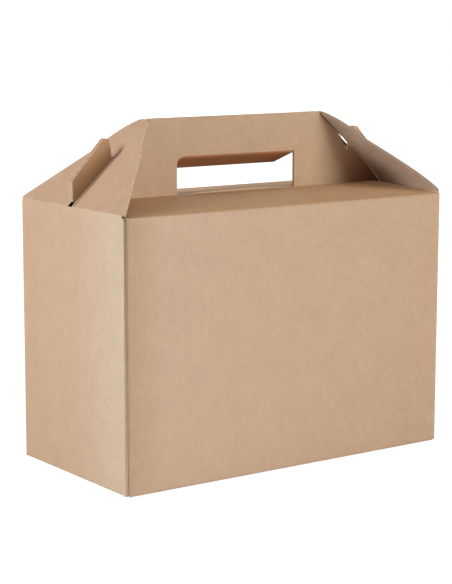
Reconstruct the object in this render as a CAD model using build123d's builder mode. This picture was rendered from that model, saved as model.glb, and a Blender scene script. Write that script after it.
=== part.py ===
from build123d import *
from math import atan2, cos, hypot, pi, radians, sin, tan
import os

# Takeaway carry box, folded from one blank of fine-fluted kraft board.
# Origin at the middle of the base, X along the box, Y from front to back, Z up. Millimetres.

# Board and its folds
board = 1.6
fold_inside = 0.3
layer_gap = 0.1
free_gap = 0.3

# Box over its walls, and the crease that the end flaps hang on
length = 219.0
width = 108.0
wall_height = 150.0
corner_bottom = 1.0

# Seam flap of the front wall, glued inside the left end wall
seam_length = 28.0
seam_setback = 0.3
seam_corner = 8.0

# Roof and handle panels
roof_rise = 3.4
handle_height = 195.0
handle_length = 123.0
panel_gap = 0.3

# Hand hole and the tongues folded back out of it
grip_length = 82.5
grip_height = 20.4
grip_bow = 1.5
grip_back_slack = 2.0
grip_left_corner = 5.2
grip_right_corner = 2.5
grip_cut = 0.4
tongue_drop = 21.0

# Lock tab on each end of a handle panel, from the end wall's face and its crease
tab_foot_inset = 0.8
tab_foot_rise = 2.4
tab_side_inset = 0.5
tab_shoulder_rise = 13.6
tab_top_inset = 20.8
tab_top_rise = 35.4
tab_hook_inset = 23.9
tab_root_inset = 26.0
tab_corner = 2.0

# Notch behind the lock tab's hook, where the tab passes the end flap
notch_inset = 28.4
notch_rise = 21.3
notch_end_inset = 34.8

# Sloping end flaps and the slit that the lock tabs come through
flap_side_inset = 1.5
flap_reach = 65.8
flap_tip_radius = 7.8
slit_point = 5.0
slit_overrun = 0.3
right_flap_bow = 3.5
bow_start = 15.0
bow_end = 40.0

# Interlocking bottom: end flaps between the tuck flap below and the slotted flap above
end_lift = 0.6
floor_strip = 3.0
end_flap_slope = 5.5
end_flap_reach = 62.0
slotted_flap_slope = 8.0
slotted_flap_reach = 68.0
tuck_flap_reach = 38.0
tuck_slope = 15.0
tuck_tip = 21.0
tuck_half_length = 44.5
tuck_side_gap = 1.5
bottom_flap_corner = 9.0

# Folded board: its middle line, its outer bend and the strips between the upright folds
half_board = board / 2
fold = fold_inside + half_board
fold_outside = fold_inside + board
end_face = length / 2
side_face = width / 2
strip_end = end_face - fold_outside
strip_side = side_face - fold_outside
seam_bend = strip_end - board
wall_low = end_lift + fold_outside
long_crease = wall_height - board
wall_high = long_crease - fold_outside

# Roof slope and the upright handle panels
handle_line = half_board + panel_gap / 2
handle_face = board + panel_gap / 2
handle_foot = long_crease + roof_rise
roof_angle = atan2(roof_rise, side_face - handle_face)
roof_line_drop = half_board / cos(roof_angle)

# End flap slope, its mitred crease, and the line that the roof and handle keep to under it
flap_angle = atan2(handle_height - wall_height, (length - handle_length) / 2)
mitre_angle = (pi / 2 - flap_angle) / 2
under_flap_drop = (board + free_gap) / cos(flap_angle)
flap_half_width = side_face - flap_side_inset
slit_width = 2 * board + panel_gap + 2 * free_gap
slit_straight = hypot(tab_hook_inset, tab_top_rise) + free_gap

# Tongue fold at the top of the hand hole
tongue_angle = radians(tongue_drop)
tongue_turn = pi / 2 - tongue_angle
tongue_reach = grip_height - grip_cut
bend_start = fold * tan(tongue_turn / 2)
front_tongue_z = handle_foot + grip_height + half_board * tan(tongue_turn / 2)
tongue_lift = (board + layer_gap) / cos(tongue_angle) - 2 * handle_line * tan(tongue_angle)
back_tongue_z = front_tongue_z + tongue_lift

# Bottom flaps: where each one starts to rise, and the ends that lie clear of the others' slopes
rise_end = strip_end - floor_strip
rise_side = strip_side - floor_strip
tuck_rise = side_face - tuck_flap_reach
tuck_end = tuck_rise - tuck_slope - tuck_tip
tuck_body_half_length = rise_end - end_flap_slope - free_gap
end_flap_back = rise_side - slotted_flap_slope - free_gap
slot_half_length = tuck_half_length + tuck_side_gap
slot_front = tuck_slope - tuck_rise + free_gap


def roof_line(y):
    """Height of the roof board's middle line at y from the centre plane."""
    return long_crease + (side_face - y) * tan(roof_angle) - roof_line_drop


def under_flap(inset):
    """Height of the line under an end flap, at an inset from the end wall's face."""
    return wall_height - under_flap_drop + inset * tan(flap_angle)


def under_flap_inset(height):
    """Inset at which the line under an end flap reaches a height."""
    return (height - wall_height + under_flap_drop) / tan(flap_angle)


def layer(number):
    """Middle line of one board in the stack of bottom flaps, counted from the floor."""
    return number * (board + layer_gap) + half_board


def front_view():
    """Outline of a long side seen from the front: wall, roof end, hooked lock tab and handle."""
    tab_foot = wall_height + tab_foot_rise
    tab_top = wall_height + tab_top_rise
    with BuildSketch(Plane.XZ) as outline:
        with BuildLine():
            half = FilletPolyline(
                (0, -board),
                (strip_end, -board),
                (strip_end, under_flap(fold_outside)),
                (end_face - under_flap_inset(tab_foot), tab_foot),
                (end_face - tab_foot_inset, tab_foot),
                (end_face - tab_side_inset, wall_height + tab_shoulder_rise),
                (end_face - tab_top_inset, tab_top),
                (end_face - tab_hook_inset, tab_top),
                (end_face - tab_root_inset, under_flap(tab_root_inset)),
                (end_face - notch_inset, wall_height + notch_rise),
                (end_face - notch_end_inset, under_flap(notch_end_inset)),
                (end_face - under_flap_inset(handle_height), handle_height),
                (0, handle_height),
                radius=[0, 0, 0, 0, tab_corner, tab_corner, tab_corner, 0, 0, 0, 0],
            )
            mirror(half, about=Plane.YZ)
        make_face()
    return outline.sketch


def grip_hole(top, right_end):
    """Hand hole, bowed up along the roof fold and rounded at the tongue's fold."""
    left_foot = (-grip_length / 2, handle_foot)
    right_foot = (right_end, handle_foot)
    with BuildSketch(Plane.XZ) as hole:
        with BuildLine():
            ThreePointArc(left_foot, (0, handle_foot + grip_bow), right_foot)
            Polyline(right_foot, (right_end, top), (-grip_length / 2, top), left_foot)
        make_face()
        upper = hole.vertices().group_by(Axis.Y)[-1].sort_by(Axis.X)
        fillet(upper[0], grip_left_corner)
        fillet(upper[1], grip_right_corner)
    return hole.sketch


def bottom_waste(flap_plan):
    """Plan of what is cut away around a bottom flap, inside the upright folds."""
    with BuildSketch() as waste:
        Rectangle(2 * strip_end, 2 * strip_side)
        add(flap_plan, mode=Mode.SUBTRACT)
    return waste.sketch


def long_side(facing, wall_left, flap_path, flap_plan, grip):
    """One long strip of the blank: bottom flap, wall, roof panel and handle panel."""
    wall_line = side_face - half_board
    with BuildPart() as strip:
        with BuildSketch(Plane.YZ):
            with BuildLine():
                section = FilletPolyline(
                    *flap_path,
                    (wall_line, half_board),
                    (wall_line, roof_line(wall_line)),
                    (handle_line, roof_line(handle_line)),
                    (handle_line, handle_height + board),
                    radius=fold,
                    mode=Mode.PRIVATE,
                )
                add(section if facing > 0 else section.mirror(Plane.YZ))
            trace(line_width=board)
        extrude(amount=end_face, both=True)
        extrude(front_view(), amount=width, both=True, mode=Mode.INTERSECT)
        extrude(grip, amount=-facing * handle_face, mode=Mode.SUBTRACT)
        extrude(bottom_waste(flap_plan), amount=wall_height / 2, mode=Mode.SUBTRACT)
        with BuildSketch():
            with Locations((wall_left, facing * side_face)):
                Rectangle(length, 2 * fold_outside, align=(Align.MAX, Align.CENTER))
        extrude(amount=wall_height, mode=Mode.SUBTRACT)
    return strip.part


def tongue(panel_line, fold_z):
    """Tongue cut from a hand hole, folded back through the handle from the hole's top edge."""
    end_y = panel_line + tongue_reach * cos(tongue_angle)
    end_z = fold_z - tongue_reach * sin(tongue_angle)
    with BuildPart() as folded:
        with BuildSketch(Plane.YZ):
            with BuildLine():
                FilletPolyline(
                    (panel_line, fold_z + 2 * bend_start),
                    (panel_line, fold_z),
                    (end_y, end_z),
                    radius=fold,
                )
            trace(line_width=board)
        extrude(amount=grip_length / 2, both=True)
        with BuildSketch() as plan:
            with Locations((0, panel_line - half_board)):
                Rectangle(grip_length - 2 * grip_cut, grip_length, align=(Align.CENTER, Align.MIN))
            hinge_corners = plan.vertices().group_by(Axis.Y)[0].sort_by(Axis.X)
            fillet(hinge_corners[0], grip_left_corner)
            fillet(hinge_corners[1], grip_right_corner)
        extrude(amount=handle_height, mode=Mode.INTERSECT)
    return folded.part


def end_side():
    """Right short strip of the blank: bottom flap and end wall, up to the end flap's crease."""
    wall_line = end_face - half_board
    flap_line = end_lift + half_board
    with BuildPart() as strip:
        with BuildSketch(Plane.XZ):
            with BuildLine():
                FilletPolyline(
                    (end_face - end_flap_reach, layer(1)),
                    (rise_end - end_flap_slope, layer(1)),
                    (rise_end, flap_line),
                    (wall_line, flap_line),
                    (wall_line, wall_height),
                    radius=fold,
                )
            trace(line_width=board)
        extrude(amount=strip_side, both=True)
        extrude(bottom_waste(end_flap_plan.sketch), amount=wall_height / 2, mode=Mode.SUBTRACT)
        split(bisect_by=crease_mitre, keep=Keep.BOTTOM)
        with Locations((end_face, strip_side, 0), (end_face, -strip_side, 0)):
            Box(4 * fold_outside, 2 * free_gap, 2 * wall_low, mode=Mode.SUBTRACT)
        with Locations((end_face, 0, wall_height)):
            Box(4 * board, slit_width, 2 * slit_overrun, mode=Mode.SUBTRACT)
    return strip.part


def end_flap(bow):
    """Right end flap: tapered to a round tip, with the slit for the lock tabs."""
    along = (-cos(flap_angle), 0, sin(flap_angle))
    crease = (end_face, 0, wall_height)
    face_plane = Plane(crease, x_dir=along, z_dir=(sin(flap_angle), 0, cos(flap_angle)))
    section_plane = Plane(crease, x_dir=along, z_dir=(0, 1, 0))
    with BuildPart() as flap:
        with BuildSketch(section_plane):
            with BuildLine():
                foot = Line((-board, -half_board), (half_board, -half_board))
                if bow:
                    Bezier(
                        foot @ 1,
                        (bow_start, bow - half_board),
                        (bow_end, -half_board),
                        (flap_reach, -half_board),
                    )
                else:
                    Line(foot @ 1, (flap_reach, -half_board))
            trace(line_width=board)
        extrude(amount=flap_half_width, both=True)
        with BuildSketch(face_plane):
            Rectangle(2 * board, 2 * flap_half_width)
            with Locations((flap_reach - flap_tip_radius, 0)):
                Circle(flap_tip_radius)
            make_hull()
        extrude(amount=bow + board, both=True, mode=Mode.INTERSECT)
        split(bisect_by=crease_mitre, keep=Keep.TOP)
        with BuildSketch(face_plane):
            with BuildLine():
                Polyline(
                    (-board, slit_width / 2),
                    (slit_straight, slit_width / 2),
                    (slit_straight + slit_point, 0),
                    (slit_straight, -slit_width / 2),
                    (-board, -slit_width / 2),
                    close=True,
                )
            make_face()
        extrude(amount=bow + board, both=True, mode=Mode.SUBTRACT)
    return flap.part


# Plane that halves the angle between the right end wall and its flap, through their crease
crease_mitre = Plane((end_face, 0, wall_height), z_dir=(-sin(mitre_angle), 0, cos(mitre_angle)))

# Bottom flap of the front wall: lies on the floor, its tongue tucked up over the slotted flap
tuck_path = [
    (tuck_end, layer(3)),
    (tuck_rise - tuck_slope, layer(3)),
    (tuck_rise, layer(0)),
]
with BuildSketch() as tuck_plan:
    with Locations((0, -side_face)):
        Rectangle(2 * tuck_body_half_length, tuck_flap_reach, align=(Align.CENTER, Align.MIN))
    chamfer(tuck_plan.vertices().group_by(Axis.Y)[-1], bottom_flap_corner)
    with BuildSketch(mode=Mode.PRIVATE) as tuck_tongue:
        with Locations((0, -side_face)):
            Rectangle(2 * tuck_half_length, side_face - tuck_end, align=(Align.CENTER, Align.MIN))
        chamfer(tuck_tongue.vertices().group_by(Axis.Y)[-1], bottom_flap_corner)
    add(tuck_tongue.sketch)

# Bottom flap of the back wall: above the end flaps, notched for the tuck flap's tongue
slotted_path = [
    (side_face - slotted_flap_reach, layer(2)),
    (rise_side - slotted_flap_slope, layer(2)),
    (rise_side, layer(0)),
]
with BuildSketch() as slotted_plan:
    with Locations((0, side_face)):
        Rectangle(2 * tuck_body_half_length, slotted_flap_reach, align=(Align.CENTER, Align.MAX))
    chamfer(slotted_plan.vertices().group_by(Axis.Y)[0], bottom_flap_corner)
    with Locations((0, slot_front)):
        Rectangle(
            2 * slot_half_length, slotted_flap_reach, align=(Align.CENTER, Align.MAX), mode=Mode.SUBTRACT
        )

# Bottom flap of an end wall, between the two
with BuildSketch() as end_flap_plan:
    with Locations((end_face, free_gap - strip_side)):
        Rectangle(end_flap_reach, strip_side - free_gap + end_flap_back, align=(Align.MAX, Align.MIN))
    chamfer(end_flap_plan.vertices().group_by(Axis.X)[0], bottom_flap_corner)

# Plan of the four walls: the left end wall's cut edge shows at the front, outside the seam fold
with BuildSketch() as wall_ring:
    with BuildLine():
        FilletPolyline(
            (half_board - end_face, seam_setback - side_face),
            (half_board - end_face, side_face - half_board),
            (end_face - half_board, side_face - half_board),
            (end_face - half_board, half_board - side_face),
            (-seam_bend, half_board - side_face),
            radius=fold,
        )
    trace(line_width=board)
    with BuildLine():
        FilletPolyline(
            (fold - seam_bend, half_board - side_face),
            (board + half_board - end_face, half_board - side_face),
            (board + half_board - end_face, fold - strip_side),
            radius=fold,
        )
    trace(line_width=board)

# Corners of the same plan, which reach further down and up, between the folded strips
with BuildSketch() as wall_corners:
    add(wall_ring.sketch)
    Rectangle(length, 2 * strip_side, mode=Mode.SUBTRACT)
    with Locations((strip_end, 0)):
        Rectangle(2 * strip_end, width, align=(Align.MAX, Align.MIN), mode=Mode.SUBTRACT)
        Rectangle(strip_end + seam_bend, width, align=(Align.MAX, Align.MAX), mode=Mode.SUBTRACT)
    with Locations((board - end_face, 0)):
        Rectangle(free_gap, width, align=(Align.MIN, Align.MAX), mode=Mode.SUBTRACT)

# Hand hole in each handle panel: the back one is a little longer at its right end
front_grip = grip_hole(front_tongue_z + bend_start, grip_length / 2)
back_grip = grip_hole(back_tongue_z + bend_start, grip_length / 2 + grip_back_slack)

# Carton: walls, roof, handle and interlocked bottom, one piece of board
with BuildPart() as carton:
    extrude(wall_ring.sketch.moved(Location((0, 0, wall_low))), amount=wall_high - wall_low)
    extrude(wall_corners.sketch.moved(Location((0, 0, corner_bottom))), amount=long_crease - corner_bottom)
    with BuildSketch(Plane.YZ.offset(board - end_face)) as seam_flap:
        with Locations((-strip_side, wall_low)):
            Rectangle(seam_length, wall_high - wall_low, align=(Align.MIN, Align.MIN))
        chamfer(seam_flap.vertices().group_by(Axis.X)[-1], seam_corner)
    extrude(amount=board)
    add(long_side(-1, -seam_bend, tuck_path, tuck_plan.sketch, front_grip))
    add(long_side(1, -strip_end, slotted_path, slotted_plan.sketch, back_grip))
    add(end_side())
    mirror(end_side(), about=Plane.YZ)
    add(tongue(-handle_line, front_tongue_z))
    add(tongue(handle_line, back_tongue_z))

# End flaps: the left one is flat, the right one has kept a slight bow
with BuildPart() as left_end_flap:
    mirror(end_flap(0), about=Plane.YZ)

with BuildPart() as right_end_flap:
    add(end_flap(right_flap_bow))

carton.part.label = "carton"
left_end_flap.part.label = "left_end_flap"
right_end_flap.part.label = "right_end_flap"

os.makedirs("parts", exist_ok=True)
export_step(carton.part, "parts/carton.step")
export_step(left_end_flap.part, "parts/left_end_flap.step")
export_step(right_end_flap.part, "parts/right_end_flap.step")
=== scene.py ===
from math import atan2, cos, pi, radians, sin

import bmesh
import bpy
from mathutils import Matrix, Vector


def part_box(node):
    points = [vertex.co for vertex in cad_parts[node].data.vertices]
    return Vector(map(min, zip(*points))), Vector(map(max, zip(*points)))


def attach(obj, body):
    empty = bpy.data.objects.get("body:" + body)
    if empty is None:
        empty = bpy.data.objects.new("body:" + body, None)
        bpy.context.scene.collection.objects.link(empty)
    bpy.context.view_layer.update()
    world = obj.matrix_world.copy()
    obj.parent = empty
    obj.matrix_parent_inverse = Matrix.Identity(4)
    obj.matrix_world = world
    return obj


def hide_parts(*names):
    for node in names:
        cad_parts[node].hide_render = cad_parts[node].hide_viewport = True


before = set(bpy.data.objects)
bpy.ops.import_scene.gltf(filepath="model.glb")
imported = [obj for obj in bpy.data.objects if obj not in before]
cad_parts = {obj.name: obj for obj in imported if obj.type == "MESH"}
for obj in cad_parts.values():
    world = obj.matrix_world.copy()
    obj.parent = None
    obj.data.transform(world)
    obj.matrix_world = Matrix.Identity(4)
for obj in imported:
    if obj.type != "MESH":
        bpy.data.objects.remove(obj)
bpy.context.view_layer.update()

# Everything is in metres, in the box's own frame: X along the box, Y from front to back, Z up.
MM = 0.001

# Box sizes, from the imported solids
carton_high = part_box("carton")[1]
END_FACE = carton_high.x
SIDE_FACE = carton_high.y
HANDLE_HEIGHT = carton_high.z
BOARD = 1.6 * MM
PANEL_GAP = 0.3 * MM
HANDLE_FACE = BOARD + PANEL_GAP / 2

# End flap slope: from the crease on the end wall to the tip on the handle
CREASE_HEIGHT = 150 * MM
HANDLE_HALF_LENGTH = 61.5 * MM
FLAP_ANGLE = atan2(HANDLE_HEIGHT - CREASE_HEIGHT, END_FACE - HANDLE_HALF_LENGTH)

# Slit in the end flaps that the lock tabs come through
SLIT_HALF_WIDTH = 2.2 * MM  # to just past its edges

# Limits of the carton's parts, each a little past the faces that it takes in
WALL_TOP = CREASE_HEIGHT + 0.5 * MM
PANELS_FOOT = CREASE_HEIGHT + 1 * MM
TONGUES_FOOT = CREASE_HEIGHT + 2 * MM
TOP_END = END_FACE - BOARD - 0.1 * MM
RIDGE_FACE = HANDLE_FACE + 0.01 * MM
SEAM_SIDE = BOARD - END_FACE + 0.05 * MM

# Hole in the fold at the foot of each lock tab, from just inside the end wall, painted dark as
# the shade inside the box
FOLD_HALF_HEIGHT = 2.3 * MM
FOLD_HALF_DEPTH = 3 * MM
FOLD_MIDDLE = END_FACE - FOLD_HALF_DEPTH - 0.05 * MM

# Front lip of the slit, rubbed up by the lock tabs: a painted highlight along it, and a painted
# shadow in front of it
LIP_MIDDLE = -SLIT_HALF_WIDTH - 0.25 * MM
LIP_HALF_WIDTH = 0.4 * MM
LIP_SHADE_MIDDLE = -SLIT_HALF_WIDTH - 1.3 * MM
LIP_SHADE_HALF_WIDTH = 0.65 * MM

# Distances from the middle of an end flap's crease between which a mark fades out
HANDLE_CORNER_SHADE_FADE = (8 * MM, 48 * MM)
INSIDE_CREASE_SHADE_FADE = (10 * MM, 34 * MM)
LIP_FADE = (34 * MM, 38 * MM)
FOLD_HOLE_SHADE_FADE = (3.4 * MM, 5 * MM)

# How much of its normal a face has along an axis when it counts as turned that way
FRONT_TURN = 0.9
LEFT_TURN = 0.5
CUT_TURN = 0.55
UNDERSIDE_TURN = 0.2
ROOF_TURNS = (0.6, 0.95)
PANEL_TURNS = (0.3, 0.9)

# Flutes of fine corrugated board, crest to crest; they run up the walls and up the end flaps
FLUTE_PITCH = 3.2 * MM
# Painted shade: the flutes' faint lines on the faces
FLUTE_SHADE_CONTRAST = 0.004
HOLLOW_START = -0.2  # on a cut edge, on the flutes' wave from -1 to 1

# Unbleached kraft liner, uncoated and hardly pressed smooth: quite matt, with a soft mottle.
# Its fibres are under 1 mm; they are drawn at 2.8 mm and its halves, the finest that shows in
# the render. The flocks of fibre that cloud the sheet are about 12 mm across.
FIBRE_SIZE = 2.8 * MM
FIBRE_DETAIL = 2
FIBRE_CONTRAST = 0.105
CLOUD_SIZE = 12 * MM
CLOUD_DETAIL = 3
CLOUD_CONTRAST = 0.1
MOTTLE_ROUGHNESS = 0.7
RELIEF_HEIGHT = 0.03 * MM
RELIEF_STRENGTH = 0.25
FLUTE_RELIEF = 0.4  # the flutes' height against the fibres'
KRAFT_ROUGHNESS = 0.85
CELLULOSE_IOR = 1.47

# Walls: painted shade darkens them towards the right and the back, towards the foot and, on
# the front, towards the bent near corner; painted light makes the left end wall palest by the
# near corner
WALL_PALE = "#D3B498"
WALL_FAR_SHADE = "#C09E7D"
# Painted light on the left end wall by the near corner
WALL_NEAR_LIT = "#D6BFA6"
WALL_CORNER_SHADE = "#BF9C7C"
CORNER_SHADE_SHARE = 0.65
CORNER_WIDTH = 18 * BOARD
BEND_SHADE = 0.94
FOOT_SHADE = 0.95
FOOT_HEIGHT = CREASE_HEIGHT / 2

# Top: painted browner and darker than the walls, as painted shade for its dimmer light, and
# darkest, as painted shade, in the corner where the handle meets the right end flap
HANDLE_SHADED_KRAFT = "#C6A686"
HANDLE_CORNER_SHADE = "#74452A"
HANDLE_CORNER_SHADE_SHARE = 0.9
ROOF_SHADED_KRAFT = "#C59B72"
# Painted shadow of the left end flap on the left lock tab
TAB_SHADOW_KRAFT = "#C0976F"
# Painted shade under the tongues in the hand hole
TONGUE_UNDERSIDE_SHADE = "#AF7850"

# End flaps: brown outside, greyer inside; painted shade in the inside's crease, at the slit's
# lip and in the fold's hole, and a painted highlight on the lip
FLAP_KRAFT = "#CEAB8D"
INSIDE_KRAFT = "#C5B3A2"
INSIDE_CREASE_SHADE = "#7E6352"
LIP_HIGHLIGHT = "#E8D2BC"
LIP_SHADE = "#8E6C4E"
FOLD_HOLE_SHADE = "#2E1C10"

# Cut edges: the liners' paper, and the hollows between the flutes, painted darker as the shade
# in them; the seam's open flute is painted darker still, darkest at its top: painted shade
CUT_EDGE = "#CDB296"
FLUTE_HOLLOW_SHADE = "#C2A689"
INSIDE_EDGE = "#A28B76"
SEAM_FOOT = "#C0A48A"
SEAM_EDGE_SHADE = "#9C8066"
SEAM_HOLLOW_SHADE = "#4E341C"
SEAM_HOLLOW_SHADE_START = CREASE_HEIGHT - 3.5 * MM
SEAM_HOLLOW_SHADE_FULL = CREASE_HEIGHT - 1 * MM

# Worked end flaps: the cuts that make a fine grid round the slit's upper end and the tip, in mm
# up the slope from the crease and to each side of the middle
SLOPE_CUTS = (3, *range(26, 66, 2))
SIDE_CUTS = (3, 4.5, 6, 8, 10, 13, 16)
ROW_REACH = 1 * MM  # half the spacing of the grid's rows
MERGE_DISTANCE = 0.001 * MM
SMOOTH_ANGLE = radians(15)

# Sides curled up below the tip
CURL_START = 50 * MM
CURL_END = 57 * MM
CURL_SIDE = 6 * MM
CURL_HEIGHT = 1.2 * MM
CURL_REACH = 12 * MM

# Left slit: pressed to this share of its width at the first row, and further at each mm up
PRESSED_ROWS = range(36, 48, 2)
PRESSED_WIDTH = 0.2
PRESSED_TAPER = 0.015
DENT_START = 38 * MM
DENT_END = 44 * MM
DENT_DEPTH = 1.4 * MM
DENT_REACH = 8 * MM

# Right slit: the back edge's shift at each row, in mm, and its shift back to shut at the crease
SPREAD_ROWS = {34: 1.6, 36: 2.4, 38: 2.6, 40: 2.4, 42: 1.6, 44: 0.8}
SHUT_END = 3.5 * MM
SHUT_SHIFT = 3.9 * MM

# Photograph: its height, and the camera fitted to the box's corners
PHOTO_HEIGHT_PX = 584
SENSOR_MM = 36
FOCAL_PX = 1751.8
CAMERA_AZIMUTH = radians(-35.62)
CAMERA_ELEVATION = radians(9.45)
CAMERA_ROLL = radians(0.12)
CAMERA_PLACE = Vector((-0.58635, -0.80970, 0.25920))

# Studio: square softboxes turned to the box's middle, each with its place and watts, in a dim
# room. The low one at the front is the main light; the top and back ones only fill.
SOFTBOX_SIZE = 1.6
SOFTBOX_AIM = Vector((0, 0, 0.1))
SOFTBOXES = {
    "right_front_softbox": ((1.8, -2.5, 0.6), 84),
    "left_softbox": ((-2.72, 0.25, 1.25), 64),
    "top_softbox": ((0, 0, 2.6), 10),
    "back_softbox": ((1.4, 2.7, 0.5), 22),
}
ROOM_STRENGTH = 0.02

# White paper sweep: its glow to the camera rises to white with the distance from the box
SWEEP_SIZE = 12
SWEEP_PAPER = "#F4F4F4"
SHADOW_PAPER = "#A0A0A0"
GLOW_BY_BOX = 0.9
GLOW_START = 120 * MM
GLOW_END = 300 * MM
WHITE = (1, 1, 1, 1)

# Settings that several nodes share
ABSOLUTE = {"operation": "ABSOLUTE"}
COMPARE = {"operation": "COMPARE"}
GREATER_THAN = {"operation": "GREATER_THAN"}
LESS_THAN = {"operation": "LESS_THAN"}
MAXIMUM = {"operation": "MAXIMUM"}
MULTIPLY = {"operation": "MULTIPLY"}
SCALE = {"operation": "SCALE"}
SMOOTHSTEP = {"interpolation_type": "SMOOTHSTEP"}


def linear(hex_colour):
    """An sRGB colour written as hex, as the linear RGBA that a shader takes."""
    channels = [int(hex_colour[i : i + 2], 16) / 255 for i in (1, 3, 5)]
    return [c / 12.92 if c <= 0.04045 else ((c + 0.055) / 1.055) ** 2.4 for c in channels] + [1]


def new_material(name):
    """An empty node material."""
    material = bpy.data.materials.new(name)
    material.use_nodes = True
    material.node_tree.nodes.clear()
    return material


def add_node(shading, kind, settings=None, **inputs):
    """Adds a node to a material or the world, with its settings and links.

    An input goes by its name or number, as Base_Color or _0; it is a value, a node or an output.
    """
    node = shading.node_tree.nodes.new("ShaderNode" + kind)
    for name, value in (settings or {}).items():
        setattr(node, name, value)
    for name, value in inputs.items():
        number = name[1:]
        socket = node.inputs[int(number) if number.isdigit() else name.replace("_", " ")]
        if isinstance(value, bpy.types.Node):
            value = value.outputs[0]
        if isinstance(value, bpy.types.NodeSocket):
            shading.node_tree.links.new(value, socket)
        else:
            socket.default_value = value
    return node


def flute_wave(material, across_flutes):
    """1 on the flutes' crests and -1 between them, over a coordinate that crosses the flutes."""
    phase = add_node(material, "Math", MULTIPLY, _0=across_flutes, _1=2 * pi / FLUTE_PITCH)
    return add_node(material, "Math", {"operation": "SINE"}, _0=phase)


def fluted_edge(material, along_edge, paper, hollow_shade):
    """Cut edge of corrugated board: the liners' pale paper, and hollows between the flutes.

    The hollows are painted darker: painted shade.
    """
    wave = flute_wave(material, along_edge)
    share = add_node(material, "MapRange", SMOOTHSTEP, Value=wave, From_Min=HOLLOW_START)
    return add_node(material, "MixRGB", Fac=share, Color1=linear(paper), Color2=linear(hollow_shade))


def near_crease(material, coordinates, side, fade, share=1.0):
    """A share round the middle of an end flap's crease that fades out with the distance."""
    from_crease = add_node(
        material,
        "VectorMath",
        {"operation": "DISTANCE"},
        _0=coordinates.outputs["Object"],
        _1=(side * END_FACE, 0, CREASE_HEIGHT),
    )
    return add_node(
        material,
        "MapRange",
        SMOOTHSTEP,
        Value=from_crease.outputs["Value"],
        From_Min=fade[0],
        From_Max=fade[1],
        To_Min=share,
        To_Max=0.0,
    )


def finish_kraft(material, coordinates, colour, across_flutes):
    """Matt kraft liner over a colour: paper fibres, faint clouds and the flutes under them.

    The flutes are a bump and faint painted shade lines.
    """
    fibres = add_node(
        material,
        "TexNoise",
        _0=coordinates.outputs["Object"],
        Scale=1 / FIBRE_SIZE,
        Detail=FIBRE_DETAIL,
        Roughness=MOTTLE_ROUGHNESS,
    )
    fibre_tone = add_node(
        material, "MapRange", Value=fibres, To_Min=1 - FIBRE_CONTRAST, To_Max=1 + FIBRE_CONTRAST
    )
    clouds = add_node(
        material,
        "TexNoise",
        _0=coordinates.outputs["Object"],
        Scale=1 / CLOUD_SIZE,
        Detail=CLOUD_DETAIL,
        Roughness=MOTTLE_ROUGHNESS,
    )
    cloud_tone = add_node(
        material, "MapRange", Value=clouds, To_Min=1 - CLOUD_CONTRAST, To_Max=1 + CLOUD_CONTRAST
    )
    crests = flute_wave(material, across_flutes)
    # Painted shade: faint lines along the flutes, besides their bump
    flute_shade_tone = add_node(
        material,
        "MapRange",
        Value=crests,
        From_Min=-1,
        To_Min=1 - FLUTE_SHADE_CONTRAST,
        To_Max=1 + FLUTE_SHADE_CONTRAST,
    )
    paper = add_node(material, "Math", MULTIPLY, _0=fibre_tone, _1=cloud_tone)
    tone = add_node(material, "Math", MULTIPLY, _0=paper, _1=flute_shade_tone)
    toned = add_node(material, "VectorMath", SCALE, _0=colour, Scale=tone)
    relief = add_node(
        material, "Math", {"operation": "MULTIPLY_ADD"}, _0=crests, _1=FLUTE_RELIEF, _2=fibres
    )
    bump = add_node(
        material, "Bump", Height=relief, Strength=RELIEF_STRENGTH, Distance=RELIEF_HEIGHT
    )
    shader = add_node(
        material,
        "BsdfPrincipled",
        Base_Color=toned,
        Roughness=KRAFT_ROUGHNESS,
        IOR=CELLULOSE_IOR,
        Normal=bump,
    )
    add_node(material, "OutputMaterial", Surface=shader)


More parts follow.
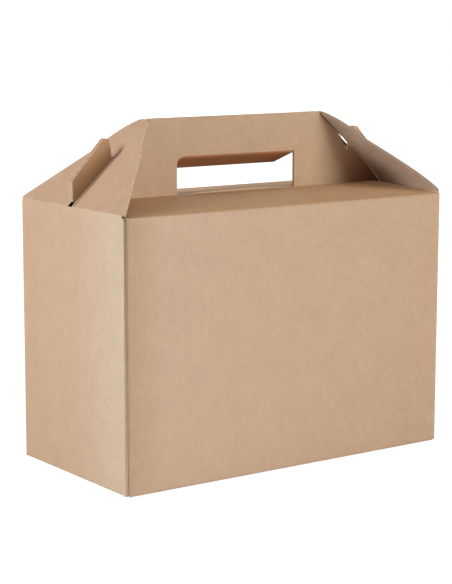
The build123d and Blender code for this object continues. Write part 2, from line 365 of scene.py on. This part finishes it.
def wall_colour(material, place, facing, front_facing):
    """Kraft of the four walls, with painted shade and painted light."""
    # Painted shade: the walls darken from the near left corner towards the right and the back
    sheet = add_node(
        material, "Math", {"operation": "ADD"}, _0=place.outputs["X"], _1=place.outputs["Y"]
    )
    far_shade_share = add_node(
        material,
        "MapRange",
        Value=sheet,
        From_Min=-END_FACE - SIDE_FACE,
        From_Max=END_FACE + SIDE_FACE,
    )
    board_tone = add_node(
        material, "MixRGB", Fac=far_shade_share, Color1=linear(WALL_PALE), Color2=linear(WALL_FAR_SHADE)
    )
    # Painted shade: darker towards the foot
    foot_shade = add_node(
        material, "MapRange", Value=place.outputs["Z"], From_Max=FOOT_HEIGHT, To_Min=FOOT_SHADE
    )

    # End walls; the left one is painted palest by the near corner: painted light
    near_side = add_node(
        material,
        "MapRange",
        SMOOTHSTEP,
        Value=place.outputs["Y"],
        From_Min=-SIDE_FACE,
        From_Max=0.0,
        To_Min=1.0,
        To_Max=0.0,
    )
    left_facing = add_node(material, "Math", LESS_THAN, _0=facing.outputs["X"], _1=-LEFT_TURN)
    near_light_share = add_node(material, "Math", MULTIPLY, _0=near_side, _1=left_facing)
    near_lit_tone = add_node(
        material, "MixRGB", Fac=near_light_share, Color1=board_tone, Color2=linear(WALL_NEAR_LIT)
    )
    end_wall = add_node(material, "VectorMath", SCALE, _0=near_lit_tone, Scale=foot_shade)

    # Front wall, painted darker towards its bent corner at the seam: painted shade
    wall = add_node(material, "VectorMath", SCALE, _0=board_tone, Scale=foot_shade)
    corner_shade_share = add_node(
        material,
        "MapRange",
        SMOOTHSTEP,
        Value=place.outputs["X"],
        From_Min=BOARD - END_FACE,
        From_Max=CORNER_WIDTH - END_FACE,
        To_Min=CORNER_SHADE_SHARE,
        To_Max=0.0,
    )
    corner_shaded = add_node(
        material, "MixRGB", Fac=corner_shade_share, Color1=wall, Color2=linear(WALL_CORNER_SHADE)
    )
    bend_shade = add_node(
        material,
        "MapRange",
        SMOOTHSTEP,
        Value=place.outputs["X"],
        From_Min=BOARD - END_FACE,
        From_Max=2 * BOARD - END_FACE,
        To_Min=BEND_SHADE,
    )
    front_wall = add_node(material, "VectorMath", SCALE, _0=corner_shaded, Scale=bend_shade)
    return add_node(material, "MixRGB", Fac=front_facing, Color1=end_wall, Color2=front_wall)


def shaded_top_colour(material, coordinates, place, side_facing, reach_x):
    """Kraft of the roof, the handle and the lock tabs.

    Painted darker and browner than the walls, and in the handle's corner: painted shade.
    """
    # Painted shade: the handle darkens into the corner under the right end flap
    crease_shade_share = near_crease(material, coordinates, 1, HANDLE_CORNER_SHADE_FADE, HANDLE_CORNER_SHADE_SHARE)
    handle = add_node(
        material,
        "MixRGB",
        Fac=crease_shade_share,
        Color1=linear(HANDLE_SHADED_KRAFT),
        Color2=linear(HANDLE_CORNER_SHADE),
    )

    # The left lock tab is what stands out above the slope of the left end flap; it is painted
    # darker, as the painted shadow of that flap
    outwards = add_node(material, "Math", MULTIPLY, _0=reach_x, _1=sin(FLAP_ANGLE))
    above_slope = add_node(
        material,
        "Math",
        {"operation": "MULTIPLY_ADD"},
        _0=place.outputs["Z"],
        _1=cos(FLAP_ANGLE),
        _2=outwards,
    )
    slope = END_FACE * sin(FLAP_ANGLE) + CREASE_HEIGHT * cos(FLAP_ANGLE)
    in_handle = add_node(material, "Math", LESS_THAN, _0=above_slope, _1=slope)
    on_right = add_node(material, "Math", GREATER_THAN, _0=place.outputs["X"], _1=0.0)
    out_of_tab_shadow = add_node(material, "Math", MAXIMUM, _0=in_handle, _1=on_right)
    panel = add_node(material, "MixRGB", Fac=out_of_tab_shadow, Color1=linear(TAB_SHADOW_KRAFT), Color2=handle)

    upright = add_node(
        material,
        "MapRange",
        SMOOTHSTEP,
        Value=side_facing,
        From_Min=PANEL_TURNS[0],
        From_Max=PANEL_TURNS[1],
    )
    return add_node(material, "MixRGB", Fac=upright, Color1=linear(ROOF_SHADED_KRAFT), Color2=panel)


def seam_colour(material, place):
    """Cut edge of the left end wall at the glued corner, cut along a flute, so it stands open.

    Its open flute is painted dark, darker upwards and darkest at the top: painted shade.
    """
    rise = add_node(material, "MapRange", Value=place.outputs["Z"], From_Max=CREASE_HEIGHT)
    paper = add_node(
        material, "MixRGB", Fac=rise, Color1=linear(SEAM_FOOT), Color2=linear(SEAM_EDGE_SHADE)
    )
    top = add_node(
        material,
        "MapRange",
        SMOOTHSTEP,
        Value=place.outputs["Z"],
        From_Min=SEAM_HOLLOW_SHADE_START,
        From_Max=SEAM_HOLLOW_SHADE_FULL,
    )
    return add_node(material, "MixRGB", Fac=top, Color1=paper, Color2=linear(SEAM_HOLLOW_SHADE))


def carton_kraft():
    """Unbleached kraft liner of the walls, roof and handle, and its cut edges."""
    material = new_material("kraft_liner_carton")
    coordinates = add_node(material, "TexCoord")
    place = add_node(material, "SeparateXYZ", _0=coordinates.outputs["Object"])
    facing = add_node(material, "SeparateXYZ", _0=coordinates.outputs["Normal"])
    end_facing = add_node(material, "Math", ABSOLUTE, _0=facing.outputs["X"])
    side_facing = add_node(material, "Math", ABSOLUTE, _0=facing.outputs["Y"])
    front_facing = add_node(material, "Math", LESS_THAN, _0=facing.outputs["Y"], _1=-FRONT_TURN)
    reach_x = add_node(material, "Math", ABSOLUTE, _0=place.outputs["X"])
    reach_y = add_node(material, "Math", ABSOLUTE, _0=place.outputs["Y"])

    # Walls below the creases, and the top between the end walls, painted darker: painted shade
    walls = wall_colour(material, place, facing, front_facing)
    top = shaded_top_colour(material, coordinates, place, side_facing, reach_x)
    above_crease = add_node(material, "Math", GREATER_THAN, _0=place.outputs["Z"], _1=PANELS_FOOT)
    upward = add_node(
        material,
        "MapRange",
        SMOOTHSTEP,
        Value=facing.outputs["Z"],
        From_Min=ROOF_TURNS[0],
        From_Max=ROOF_TURNS[1],
    )
    topmost = add_node(material, "Math", MAXIMUM, _0=above_crease, _1=upward)
    between_ends = add_node(material, "Math", LESS_THAN, _0=reach_x, _1=TOP_END)
    on_top = add_node(material, "Math", MULTIPLY, _0=topmost, _1=between_ends)
    liner = add_node(material, "MixRGB", Fac=on_top, Color1=walls, Color2=top)

    # Undersides of the folded tongues in the hand hole, painted dark: painted shade
    above_roof = add_node(material, "Math", GREATER_THAN, _0=place.outputs["Z"], _1=TONGUES_FOOT)
    downward = add_node(material, "Math", LESS_THAN, _0=facing.outputs["Z"], _1=-UNDERSIDE_TURN)
    shaded_under = add_node(material, "Math", MULTIPLY, _0=above_roof, _1=downward)
    lined = add_node(material, "MixRGB", Fac=shaded_under, Color1=liner, Color2=linear(TONGUE_UNDERSIDE_SHADE))

    # Cut edges of the handle, its lock tabs, the hand hole and the tongues
    end_cut = add_node(material, "Math", GREATER_THAN, _0=end_facing, _1=CUT_TURN)
    side_cut = add_node(material, "Math", MULTIPLY, _0=above_roof, _1=end_cut)
    level = add_node(material, "Math", GREATER_THAN, _0=facing.outputs["Z"], _1=CUT_TURN)
    in_ridge = add_node(material, "Math", LESS_THAN, _0=reach_y, _1=RIDGE_FACE)
    top_cut = add_node(material, "Math", MULTIPLY, _0=level, _1=in_ridge)
    cut = add_node(material, "Math", MAXIMUM, _0=side_cut, _1=top_cut)
    edge = fluted_edge(material, place.outputs["X"], CUT_EDGE, FLUTE_HOLLOW_SHADE)
    edged = add_node(material, "MixRGB", Fac=cut, Color1=lined, Color2=edge)

    # Cut edge of the left end wall, which shows at the front beside the front wall's bend;
    # its open flute is painted dark: painted shade
    at_end = add_node(material, "Math", LESS_THAN, _0=place.outputs["X"], _1=SEAM_SIDE)
    on_wall = add_node(material, "Math", LESS_THAN, _0=place.outputs["Z"], _1=WALL_TOP)
    front_end = add_node(material, "Math", MULTIPLY, _0=at_end, _1=front_facing)
    seam = add_node(material, "Math", MULTIPLY, _0=front_end, _1=on_wall)
    seam_shaded_edge = seam_colour(material, place)
    seamed = add_node(material, "MixRGB", Fac=seam, Color1=edged, Color2=seam_shaded_edge)

    # Painted shade: the hole under each lock tab's foot, in the fold at the slit's end
    in_slit = add_node(material, "Math", LESS_THAN, _0=reach_y, _1=SLIT_HALF_WIDTH)
    at_fold = add_node(
        material, "Math", COMPARE, _0=place.outputs["Z"], _1=CREASE_HEIGHT, _2=FOLD_HALF_HEIGHT
    )
    inside_wall = add_node(
        material, "Math", COMPARE, _0=reach_x, _1=FOLD_MIDDLE, _2=FOLD_HALF_DEPTH
    )
    in_fold = add_node(material, "Math", MULTIPLY, _0=in_slit, _1=at_fold)
    fold_hole_shade = add_node(material, "Math", MULTIPLY, _0=in_fold, _1=inside_wall)
    fold_hole_shaded = add_node(material, "MixRGB", Fac=fold_hole_shade, Color1=seamed, Color2=linear(FOLD_HOLE_SHADE))

    # The flutes are crossed along Y on the end walls and along X elsewhere
    across = add_node(
        material,
        "Mix",
        {"data_type": "FLOAT"},
        _0=end_cut,
        _2=place.outputs["X"],
        _3=place.outputs["Y"],
    )
    finish_kraft(material, coordinates, fold_hole_shaded, across)
    return material


def flap_kraft(name, side, cut_edge, flute_hollow_shade):
    """Kraft liner of an end flap: brown outside, greyer inside, with fluted cut edges."""
    material = new_material(name)
    coordinates = add_node(material, "TexCoord")
    place = add_node(material, "SeparateXYZ", _0=coordinates.outputs["Object"])
    outward = (side * sin(FLAP_ANGLE), 0, cos(FLAP_ANGLE))
    facing = add_node(
        material,
        "VectorMath",
        {"operation": "DOT_PRODUCT"},
        _0=coordinates.outputs["Normal"],
        _1=outward,
    )

    # The inside is painted darker down by the lock tabs, at the crease's middle: painted shade
    crease_shade_share = near_crease(material, coordinates, side, INSIDE_CREASE_SHADE_FADE)
    inside = add_node(
        material,
        "MixRGB",
        Fac=crease_shade_share,
        Color1=linear(INSIDE_KRAFT),
        Color2=linear(INSIDE_CREASE_SHADE),
    )
    outside = add_node(material, "Math", GREATER_THAN, _0=facing.outputs["Value"], _1=0)
    liner = add_node(material, "MixRGB", Fac=outside, Color1=inside, Color2=linear(FLAP_KRAFT))

    # Front lip of the slit, where the lock tabs have rubbed the paper up: a painted highlight
    # along it, and a painted shadow in front of it
    lip_length = near_crease(material, coordinates, side, LIP_FADE)
    in_shade = add_node(
        material,
        "Math",
        COMPARE,
        _0=place.outputs["Y"],
        _1=LIP_SHADE_MIDDLE,
        _2=LIP_SHADE_HALF_WIDTH,
    )
    shade_share = add_node(material, "Math", MULTIPLY, _0=in_shade, _1=lip_length)
    shaded = add_node(material, "MixRGB", Fac=shade_share, Color1=liner, Color2=linear(LIP_SHADE))
    in_lip = add_node(
        material, "Math", COMPARE, _0=place.outputs["Y"], _1=LIP_MIDDLE, _2=LIP_HALF_WIDTH
    )
    lip_highlight_share = add_node(material, "Math", MULTIPLY, _0=in_lip, _1=lip_length)
    lip_highlighted = add_node(material, "MixRGB", Fac=lip_highlight_share, Color1=shaded, Color2=linear(LIP_HIGHLIGHT))

    # Cut edges, with the hole in the fold at the end of the slit painted dark: painted shade
    turned = add_node(material, "Math", ABSOLUTE, _0=facing.outputs["Value"])
    cut = add_node(material, "Math", LESS_THAN, _0=turned, _1=CUT_TURN)
    edge = fluted_edge(material, place.outputs["Y"], cut_edge, flute_hollow_shade)
    edged = add_node(material, "MixRGB", Fac=cut, Color1=lip_highlighted, Color2=edge)
    fold_share = near_crease(material, coordinates, side, FOLD_HOLE_SHADE_FADE)
    fold_hole_shade = add_node(material, "Math", MULTIPLY, _0=fold_share, _1=cut)
    fold_hole_shaded = add_node(material, "MixRGB", Fac=fold_hole_shade, Color1=edged, Color2=linear(FOLD_HOLE_SHADE))
    finish_kraft(material, coordinates, fold_hole_shaded, place.outputs["Y"])
    return material


def pick_vertices(piece, wanted):
    """Selects, in edit mode, the vertices that a test of their place wants."""
    sheet = bmesh.from_edit_mesh(piece.data)
    for vertex in sheet.verts:
        vertex.select = wanted(vertex.co)
    sheet.select_flush_mode()
    bmesh.update_edit_mesh(piece.data)


def worked_flap(name, side, shape_slit, cut_edge, flute_hollow_shade):
    """An end flap as the folding left it, with its slit worked and its sides curled up."""
    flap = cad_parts[name].copy()
    flap.data = flap.data.copy()
    flap.name = name + "_worked"
    bpy.context.scene.collection.objects.link(flap)
    bpy.ops.object.select_all(action="DESELECT")
    flap.select_set(True)
    bpy.context.view_layer.objects.active = flap
    crease = Vector((side * END_FACE, 0, CREASE_HEIGHT))
    up_slope = Vector((-side * cos(FLAP_ANGLE), 0, sin(FLAP_ANGLE)))
    outward = Vector((side * sin(FLAP_ANGLE), 0, cos(FLAP_ANGLE)))

    def climb(place):
        """Distance of a place up the slope from the crease."""
        return (place - crease).dot(up_slope)

    bpy.ops.object.mode_set(mode="EDIT")
    bpy.ops.mesh.select_mode(type="VERT")
    bpy.ops.mesh.select_all(action="SELECT")
    bpy.ops.mesh.remove_doubles(threshold=MERGE_DISTANCE)
    for distance in SLOPE_CUTS:
        bpy.ops.mesh.select_all(action="SELECT")
        bpy.ops.mesh.bisect(plane_co=crease + distance * MM * up_slope, plane_no=up_slope)
    for distance in SIDE_CUTS:
        for place in (-distance * MM, distance * MM):
            bpy.ops.mesh.select_all(action="SELECT")
            bpy.ops.mesh.bisect(plane_co=(0, place, 0), plane_no=(0, 1, 0))

    shape_slit(flap, climb, outward)

    pick_vertices(
        flap, lambda place: abs(place.y) > CURL_SIDE and CURL_START < climb(place) < CURL_END
    )
    bpy.ops.transform.translate(
        value=CURL_HEIGHT * outward,
        use_proportional_edit=True,
        proportional_edit_falloff="SMOOTH",
        proportional_size=CURL_REACH,
    )
    bpy.ops.object.mode_set(mode="OBJECT")
    bpy.ops.object.shade_smooth_by_angle(angle=SMOOTH_ANGLE)
    flap.data.materials.clear()
    flap.data.materials.append(flap_kraft("kraft_liner_" + name, side, cut_edge, flute_hollow_shade))
    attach(flap, name)
    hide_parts(name)


def press_slit(flap, climb, outward):
    """The left flap's slit is pressed shut above the lock tab, and the board is dented there."""
    for row in PRESSED_ROWS:
        pick_vertices(
            flap,
            lambda place: abs(place.y) < SLIT_HALF_WIDTH
            and abs(climb(place) - row * MM) < ROW_REACH,
        )
        width = PRESSED_WIDTH - PRESSED_TAPER * (row - PRESSED_ROWS[0])
        bpy.ops.transform.resize(value=(1, width, 1), center_override=(0, 0, 0))
    pick_vertices(
        flap,
        lambda place: abs(place.y) < SLIT_HALF_WIDTH and DENT_START < climb(place) < DENT_END,
    )
    bpy.ops.transform.translate(
        value=-DENT_DEPTH * outward,
        use_proportional_edit=True,
        proportional_edit_falloff="SMOOTH",
        proportional_size=DENT_REACH,
    )


def spread_slit(flap, climb, outward):
    """The right flap's slit stands open behind the lock tab's hook and is shut at the crease."""
    for row, shift in SPREAD_ROWS.items():
        pick_vertices(
            flap,
            lambda place: 0 < place.y < SLIT_HALF_WIDTH
            and abs(climb(place) - row * MM) < ROW_REACH,
        )
        bpy.ops.transform.translate(value=(0, shift * MM, 0))
    pick_vertices(flap, lambda place: 0 < place.y < SLIT_HALF_WIDTH and climb(place) < SHUT_END)
    bpy.ops.transform.translate(value=(0, -SHUT_SHIFT, 0))


def add_camera():
    """The photograph's camera."""
    lens = bpy.data.cameras.new("photo_camera")
    lens.sensor_width = SENSOR_MM
    lens.lens = FOCAL_PX * SENSOR_MM / PHOTO_HEIGHT_PX
    camera = bpy.data.objects.new("photo_camera", lens)
    bpy.context.scene.collection.objects.link(camera)
    turn = (
        Matrix.Rotation(CAMERA_AZIMUTH, 4, "Z")
        @ Matrix.Rotation(radians(90) - CAMERA_ELEVATION, 4, "X")
        @ Matrix.Rotation(CAMERA_ROLL, 4, "Z")
    )
    camera.matrix_world = Matrix.Translation(CAMERA_PLACE) @ turn
    bpy.context.scene.camera = camera


def add_softbox(name, place, watts):
    """A square soft white light at a place, turned to the box."""
    light = bpy.data.lights.new(name, "AREA")
    light.shape = "SQUARE"
    light.size = SOFTBOX_SIZE
    light.energy = watts
    lamp = bpy.data.objects.new(name, light)
    bpy.context.scene.collection.objects.link(lamp)
    lamp.location = place
    lamp.rotation_euler = (SOFTBOX_AIM - Vector(place)).to_track_quat("-Z", "Y").to_euler()


def seen_directly(shading):
    """1 where the camera, a reflection or a view through glass meets the floor or backdrop."""
    rays = add_node(shading, "LightPath")
    through = add_node(
        shading,
        "Math",
        MAXIMUM,
        _0=rays.outputs["Is Glossy Ray"],
        _1=rays.outputs["Is Transmission Ray"],
    )
    return add_node(shading, "Math", MAXIMUM, _0=rays.outputs["Is Camera Ray"], _1=through)


def add_floor():
    """White paper sweep; by the box its glow to the camera leaves room for the box's shadow."""
    bpy.ops.object.select_all(action="DESELECT")
    bpy.ops.mesh.primitive_plane_add(size=SWEEP_SIZE, location=(0, 0, 0))
    floor = bpy.context.object
    floor.name = "floor"
    material = new_material("white_paper_sweep")
    paper = add_node(material, "BsdfDiffuse", Color=linear(SWEEP_PAPER))
    coordinates = add_node(material, "TexCoord")
    away = add_node(
        material, "VectorMath", {"operation": "LENGTH"}, _0=coordinates.outputs["Object"]
    )
    white = add_node(
        material,
        "MapRange",
        SMOOTHSTEP,
        Value=away.outputs["Value"],
        From_Min=GLOW_START,
        From_Max=GLOW_END,
        To_Min=GLOW_BY_BOX,
        To_Max=1.0,
    )
    glow = add_node(material, "Emission", Color=WHITE, Strength=white)
    shadow_catcher = add_node(material, "BsdfDiffuse", Color=linear(SHADOW_PAPER))
    seen = add_node(material, "AddShader", _0=glow, _1=shadow_catcher)
    mix = add_node(material, "MixShader", Fac=seen_directly(material), _1=paper, _2=seen)
    add_node(material, "OutputMaterial", Surface=mix)
    floor.data.materials.append(material)


def set_world():
    """White to the camera, and a dim room for the light."""
    world = bpy.data.worlds.new("studio")
    world.use_nodes = True
    world.node_tree.nodes.clear()
    room = add_node(world, "Background", Color=WHITE, Strength=ROOM_STRENGTH)
    backdrop = add_node(world, "Background", Color=WHITE, Strength=1.0)
    mix = add_node(world, "MixShader", Fac=seen_directly(world), _1=room, _2=backdrop)
    add_node(world, "OutputWorld", Surface=mix)
    bpy.context.scene.world = world


bpy.context.scene.view_settings.view_transform = "Standard"
add_camera()
set_world()
add_floor()
for softbox, (place, watts) in SOFTBOXES.items():
    add_softbox(softbox, place, watts)

carton_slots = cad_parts["carton"].data.materials
carton_slots.clear()
carton_slots.append(carton_kraft())
worked_flap("left_end_flap", -1, press_slit, CUT_EDGE, FLUTE_HOLLOW_SHADE)
worked_flap("right_end_flap", 1, spread_slit, INSIDE_EDGE, INSIDE_EDGE)
